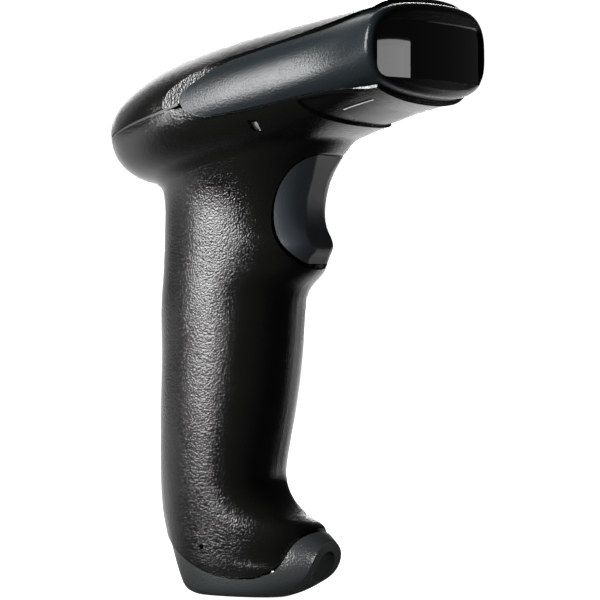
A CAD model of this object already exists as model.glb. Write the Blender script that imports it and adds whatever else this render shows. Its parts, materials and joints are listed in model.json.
import json
from math import cos, radians, sin

import bpy
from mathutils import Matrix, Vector

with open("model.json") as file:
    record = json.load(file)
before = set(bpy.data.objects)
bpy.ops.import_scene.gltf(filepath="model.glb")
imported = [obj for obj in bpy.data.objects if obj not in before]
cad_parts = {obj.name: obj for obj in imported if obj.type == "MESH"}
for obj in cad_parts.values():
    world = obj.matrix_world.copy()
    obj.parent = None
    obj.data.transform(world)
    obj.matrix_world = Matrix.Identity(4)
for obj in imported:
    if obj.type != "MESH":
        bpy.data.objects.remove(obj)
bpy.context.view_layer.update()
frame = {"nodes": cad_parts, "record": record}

# Handheld barcode scanner: camera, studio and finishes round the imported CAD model.
# Metres and watts. An azimuth is in degrees, turned from the right side (-Y) towards the front (+X).

# ---------------------------------------------------------------- camera
CAMERA_AZIMUTH = 34.0
CAMERA_DISTANCE = 1.0
AIM = Vector((0.025, 0.0, 0.0905))
LENS = 197.37               # millimetres, for the picture's framing at this distance
SENSOR = 36.0               # millimetres
CLIP = (0.05, 20.0)

# ---------------------------------------------------------------- surround and floor
SURROUND_SEEN = 1.15        # its strength to the camera
ROOM_LIGHT = 0.03           # its strength as light, away from the backdrop
BACKDROP_LIGHT = 0.9
BACKDROP_AZIMUTH = 236.0    # bright backdrop, behind the scanner and to its rear
BACKDROP_RISE = 0.3
BACKDROP_EDGE = (0.75, 0.92)    # cosine of the angle from its middle, from the room to full light

FLOOR_SIZE = 8.0
FLOOR_GAP = 0.0001          # below the scanner's foot
FLOOR_GREY = (0.86, 0.86, 0.86, 1)
FLOOR_GLOW = 1.0            # added to what the camera sees, so that no horizon shows
FLOOR_LIGHT = (0.04, 1.3)   # its strength as light, in front of the scanner and behind it
FLOOR_EDGE = (-0.01, 0.16)  # distance towards the backdrop, from the one to the other
FLOOR_AZIMUTH = BACKDROP_AZIMUTH - 10.0

# ---------------------------------------------------------------- lamps
KEY_REACH = 1.3
KEY_RISE = Vector((0, 0, 0.56))
KEY_SIZE = (0.42, 1.0)
KEYS = (                    # name, azimuth, watts; the second is for the side that the camera doesn't see
    ("key", -33.0, 34),
    ("left_key", 213.0, 15),
)

MIDDLE = Vector((0.02, 0.0, 0.10))
BACK_REACH = 1.4
BACK_TOWARD = Vector((-0.66, 0.62, 0.42))
BACK_SIZE = (0.9, 0.9)
BACK_WATTS = 5

WINDOW = Vector((0.072, -0.022, 0.145))
WINDOW_AZIMUTH = 121.0      # what the camera sees mirrored in the window's near side
WINDOW_REACH = 1.50
WINDOW_RISE = Vector((0, 0, 0.002))
WINDOW_LAMPS = (            # name, width, height, watts
    ("window_panel", 0.36, 0.266, 0.6),
    ("window_rim", 0.52, 0.276, 0.85),
)

TOE = Vector((0.025, -0.010, 0.012))
FINGER = Vector((0.033, -0.010, 0.118))
FILLS = (                   # name, nodes that it lights, aim, reach, azimuth, rise, size, watts
    ("boot_fill", ("base_boot",), TOE, 1.2, -10.0, 0.02, (0.34, 0.30), 20),
    ("mouth_fill", ("base_boot", "cable_jack"), TOE, 0.6, 55.0, -0.01, (0.30, 0.14), 6),
    ("trigger_fill", ("trigger",), FINGER, 1.2, 8.0, 0.05, (0.36, 0.5), 9),
)

# ---------------------------------------------------------------- finishes
PATCH_SIZE = 0.012          # patches of tone and gloss
PATCH_DETAIL = 5
PATCH_RANGE = (0.3, 0.7)    # the part of the noise that the gloss varies over
GRAIN_DETAIL = 1.5
COAT_ROUGHNESS = 0.01

# The top cover's snap hooks are shown bare and pale: they reach below LATCH_TOP, ahead of LATCH_BACK.
LATCH_TOP = 0.1446
LATCH_BACK = 0.015
LATCH_PALE = (0.85, 0.85, 0.84, 1)


# ---------------------------------------------------------------- helpers
def heading(azimuth, rise=0.0):
    """Direction turned from the right side (-Y) towards the front (+X), with a rise."""
    turn = radians(azimuth)
    return Vector((sin(turn), -cos(turn), rise)).normalized()


def look_from(obj, place, aim):
    obj.location = place
    obj.rotation_mode = "QUATERNION"
    obj.rotation_quaternion = (aim - place).to_track_quat("-Z", "Y")


def dot_node(tree, vector, direction):
    """How far a vector reaches along a fixed direction."""
    node = tree.nodes.new("ShaderNodeVectorMath")
    node.operation = "DOT_PRODUCT"
    node.inputs[1].default_value = direction
    tree.links.new(vector, node.inputs[0])
    return node.outputs["Value"]


def range_node(tree, value, given, wanted, interpolation="LINEAR"):
    """Map the given range of a value onto the wanted one."""
    node = tree.nodes.new("ShaderNodeMapRange")
    node.interpolation_type = interpolation
    node.inputs["From Min"].default_value, node.inputs["From Max"].default_value = given
    node.inputs["To Min"].default_value, node.inputs["To Max"].default_value = wanted
    tree.links.new(value, node.inputs["Value"])
    return node.outputs["Result"]


def math_node(tree, operation, first, second):
    """Join two sockets, or a socket and a number, by an operation."""
    node = tree.nodes.new("ShaderNodeMath")
    node.operation = operation
    tree.links.new(first, node.inputs[0])
    if isinstance(second, float):
        node.inputs[1].default_value = second
    else:
        tree.links.new(second, node.inputs[1])
    return node.outputs[0]


def split_for_camera(tree, as_light, as_seen, output):
    """Show the camera one shader, and light the scene with the other."""
    path = tree.nodes.new("ShaderNodeLightPath")
    mix = tree.nodes.new("ShaderNodeMixShader")
    tree.links.new(path.outputs["Is Camera Ray"], mix.inputs[0])
    tree.links.new(as_light, mix.inputs[1])
    tree.links.new(as_seen, mix.inputs[2])
    out = tree.nodes.new(output)
    tree.links.new(mix.outputs[0], out.inputs["Surface"])


# ---------------------------------------------------------------- studio
def build_camera():
    data = bpy.data.cameras.new("camera")
    data.lens = LENS
    data.sensor_width = SENSOR
    data.clip_start, data.clip_end = CLIP
    obj = bpy.data.objects.new("camera", data)
    bpy.context.scene.collection.objects.link(obj)
    look_from(obj, AIM + CAMERA_DISTANCE * heading(CAMERA_AZIMUTH), AIM)
    bpy.context.scene.camera = obj


def build_world():
    """White surround to the camera; as light, a dim room with a bright backdrop."""
    world = bpy.data.worlds.new("studio")
    bpy.context.scene.world = world
    world.use_nodes = True
    tree = world.node_tree
    tree.nodes.clear()
    seen = tree.nodes.new("ShaderNodeBackground")
    seen.inputs["Color"].default_value = (1, 1, 1, 1)
    seen.inputs["Strength"].default_value = SURROUND_SEEN
    coords = tree.nodes.new("ShaderNodeTexCoord")
    facing = dot_node(tree, coords.outputs["Generated"], heading(BACKDROP_AZIMUTH, BACKDROP_RISE))
    strength = range_node(tree, facing, BACKDROP_EDGE, (ROOM_LIGHT, BACKDROP_LIGHT), "SMOOTHSTEP")
    lit = tree.nodes.new("ShaderNodeBackground")
    tree.links.new(strength, lit.inputs["Strength"])
    split_for_camera(tree, lit.outputs[0], seen.outputs[0], "ShaderNodeOutputWorld")


def build_floor():
    """Pale floor to the camera; as light, bright only towards the backdrop."""
    bpy.ops.mesh.primitive_plane_add(size=FLOOR_SIZE, location=(0, 0, -FLOOR_GAP))
    floor = bpy.context.object
    floor.name = "floor"
    material = bpy.data.materials.new("pale_floor")
    material.use_nodes = True
    tree = material.node_tree
    tree.nodes.clear()
    diffuse = tree.nodes.new("ShaderNodeBsdfDiffuse")
    diffuse.inputs["Color"].default_value = FLOOR_GREY
    glow = tree.nodes.new("ShaderNodeEmission")
    glow.inputs["Strength"].default_value = FLOOR_GLOW
    seen = tree.nodes.new("ShaderNodeAddShader")
    tree.links.new(glow.outputs[0], seen.inputs[0])
    tree.links.new(diffuse.outputs[0], seen.inputs[1])
    place = tree.nodes.new("ShaderNodeNewGeometry")
    behind = dot_node(tree, place.outputs["Position"], heading(FLOOR_AZIMUTH))
    strength = range_node(tree, behind, FLOOR_EDGE, FLOOR_LIGHT, "SMOOTHSTEP")
    lit = tree.nodes.new("ShaderNodeEmission")
    tree.links.new(strength, lit.inputs["Strength"])
    split_for_camera(tree, lit.outputs[0], seen.outputs[0], "ShaderNodeOutputMaterial")
    floor.data.materials.append(material)


def softbox(name, place, aim, size, watts):
    data = bpy.data.lights.new(name, "AREA")
    data.shape = "RECTANGLE"
    data.size, data.size_y = size
    data.energy = watts
    obj = bpy.data.objects.new(name, data)
    bpy.context.scene.collection.objects.link(obj)
    look_from(obj, place, aim)
    obj.visible_camera = False
    return obj


def shine_on(lamp, nodes):
    """Let a lamp reach the named nodes alone."""
    group = bpy.data.collections.new(lamp.name + "_on")
    for name in nodes:
        group.objects.link(frame["nodes"][name])
    lamp.light_linking.receiver_collection = group


def build_lamps():
    for name, azimuth, watts in KEYS:
        place = KEY_REACH * heading(azimuth) + KEY_RISE
        softbox(name, place, place - heading(azimuth), KEY_SIZE, watts)
    softbox("back", MIDDLE + BACK_REACH * BACK_TOWARD.normalized(), MIDDLE, BACK_SIZE, BACK_WATTS)
    place = WINDOW + WINDOW_REACH * heading(WINDOW_AZIMUTH) + WINDOW_RISE
    for name, width, height, watts in WINDOW_LAMPS:
        shine_on(softbox(name, place, WINDOW, (width, height), watts), ("scan_window",))
    for name, nodes, aim, reach, azimuth, rise, size, watts in FILLS:
        shine_on(softbox(name, aim + reach * heading(azimuth, rise), aim, size, watts), nodes)


# ---------------------------------------------------------------- materials
def plastic(name, colour, tone, rough, grain, depth, vary=0.06, metal=0.0, coat=0.0, specular=0.5):
    """Procedural finish: two close tones, patchy gloss and a fine moulded grain.

    tone multiplies the colour to give the second one, and vary is how far the gloss strays from
    rough. grain is the size of the moulded grain and depth its height, where 0 leaves it out.
    """
    material = bpy.data.materials.new(name)
    material.use_nodes = True
    tree = material.node_tree
    link = tree.links.new
    shader = tree.nodes["Principled BSDF"]
    shader.inputs["Metallic"].default_value = metal
    shader.inputs["Coat Weight"].default_value = coat
    shader.inputs["Coat Roughness"].default_value = COAT_ROUGHNESS
    shader.inputs["Specular IOR Level"].default_value = specular
    coords = tree.nodes.new("ShaderNodeTexCoord")
    patches = tree.nodes.new("ShaderNodeTexNoise")
    patches.inputs["Scale"].default_value = 1 / PATCH_SIZE
    patches.inputs["Detail"].default_value = PATCH_DETAIL
    link(coords.outputs["Object"], patches.inputs["Vector"])
    blend = tree.nodes.new("ShaderNodeMix")
    blend.data_type = "RGBA"
    blend.inputs["A"].default_value = (*colour, 1)
    blend.inputs["B"].default_value = (*[channel * tone for channel in colour], 1)
    link(patches.outputs["Fac"], blend.inputs["Factor"])
    link(blend.outputs["Result"], shader.inputs["Base Color"])
    gloss = range_node(tree, patches.outputs["Fac"], PATCH_RANGE, (rough - vary, rough + vary))
    link(gloss, shader.inputs["Roughness"])
    if depth:
        specks = tree.nodes.new("ShaderNodeTexNoise")
        specks.inputs["Scale"].default_value = 1 / grain
        specks.inputs["Detail"].default_value = GRAIN_DETAIL
        link(coords.outputs["Object"], specks.inputs["Vector"])
        bump = tree.nodes.new("ShaderNodeBump")
        bump.inputs["Strength"].default_value = 1.0
        bump.inputs["Distance"].default_value = depth
        link(specks.outputs["Fac"], bump.inputs["Height"])
        link(bump.outputs["Normal"], shader.inputs["Normal"])
    return material


def pale_latch(material):
    """Turn a cover's finish pale round its snap hooks."""
    tree = material.node_tree
    shader = tree.nodes["Principled BSDF"]
    base = shader.inputs["Base Color"].links[0].from_socket
    coords = tree.nodes.new("ShaderNodeTexCoord")
    split = tree.nodes.new("ShaderNodeSeparateXYZ")
    tree.links.new(coords.outputs["Object"], split.inputs[0])
    low = math_node(tree, "LESS_THAN", split.outputs["Z"], LATCH_TOP)
    ahead = math_node(tree, "GREATER_THAN", split.outputs["X"], LATCH_BACK)
    mix = tree.nodes.new("ShaderNodeMix")
    mix.data_type = "RGBA"
    mix.inputs["B"].default_value = LATCH_PALE
    tree.links.new(math_node(tree, "MULTIPLY", low, ahead), mix.inputs["Factor"])
    tree.links.new(base, mix.inputs["A"])
    tree.links.new(mix.outputs["Result"], shader.inputs["Base Color"])
    return material


SLOT_LOOKS = {
    "black_shell": dict(colour=(0.005, 0.005, 0.0045), tone=1.5, rough=0.18, vary=0.015,
                        grain=0.00056, depth=0.00011),
    "grey_bead": dict(colour=(0.05, 0.05, 0.05), tone=1.3, rough=0.4, grain=0.0005, depth=0.00001),
    "slate_pad": dict(colour=(0.014, 0.019, 0.022), tone=1.2, rough=0.28, vary=0.02, specular=0.32,
                      grain=0.00055, depth=0.00008),
    "slate_boot": dict(colour=(0.017, 0.019, 0.019), tone=1.2, rough=0.32, vary=0.02,
                       grain=0.00055, depth=0.00013),
    "window": dict(colour=(0.0015, 0.0012, 0.0012), tone=1.5, rough=0.012, vary=0.003, coat=1.0,
                   grain=0.001, depth=0.0),
    "black_rubber": dict(colour=(0.012, 0.012, 0.012), tone=1.5, rough=0.6, grain=0.0005, depth=0.00001),
    "label": dict(colour=(0.02, 0.02, 0.02), tone=1.3, rough=0.3, grain=0.001, depth=0.000004),
    "steel": dict(colour=(0.62, 0.62, 0.60), tone=0.8, rough=0.25, metal=1.0, grain=0.0004, depth=0.000004),
    "switch_case": dict(colour=(0.02, 0.02, 0.022), tone=1.3, rough=0.45, grain=0.0005, depth=0.00001),
    "plunger": dict(colour=(0.45, 0.08, 0.06), tone=0.85, rough=0.4, grain=0.0005, depth=0.000008),
    "gold": dict(colour=(0.85, 0.62, 0.25), tone=0.9, rough=0.22, metal=1.0, grain=0.0004, depth=0.000004),
    "board": dict(colour=(0.015, 0.12, 0.045), tone=0.8, rough=0.32, grain=0.0006, depth=0.00001),
    "chip": dict(colour=(0.012, 0.012, 0.013), tone=1.5, rough=0.5, grain=0.0003, depth=0.000008),
    "header": dict(colour=(0.75, 0.72, 0.62), tone=0.92, rough=0.42, grain=0.0006, depth=0.000008),
    "chassis": dict(colour=(0.03, 0.03, 0.03), tone=1.4, rough=0.5, grain=0.0006, depth=0.00001),
    "lamp": dict(colour=(0.8, 0.78, 0.6), tone=0.9, rough=0.2, grain=0.0005, depth=0.000004),
    "lens": dict(colour=(0.01, 0.012, 0.02), tone=1.3, rough=0.05, vary=0.01, coat=1.0,
                 grain=0.001, depth=0.0),
    "ribbon": dict(colour=(0.55, 0.32, 0.08), tone=0.85, rough=0.35, grain=0.0008, depth=0.000008),
}
TRIGGER_LOOK = dict(colour=(0.030, 0.036, 0.042), tone=1.15, rough=0.40, vary=0.02,
                    grain=0.0005, depth=0.00005)


def finish_nodes():
    """Give each node its slot's finish, or its own where it differs."""
    finishes = {slot: plastic(slot, **look) for slot, look in SLOT_LOOKS.items()}
    own = {
        "trigger": plastic("slate_trigger", **TRIGGER_LOOK),
        "top_cover": pale_latch(finishes["black_shell"].copy()),
    }
    slots = {row["node"]: row["material_slot"] for row in frame["record"]["subparts"]}
    for name, node in frame["nodes"].items():
        slot = slots[name]
        node.data.materials.clear()
        node.data.materials.append(own.get(name, finishes[slot]))


build_camera()
build_world()
build_floor()
build_lamps()
finish_nodes()
bpy.context.scene.view_settings.view_transform = "Standard"
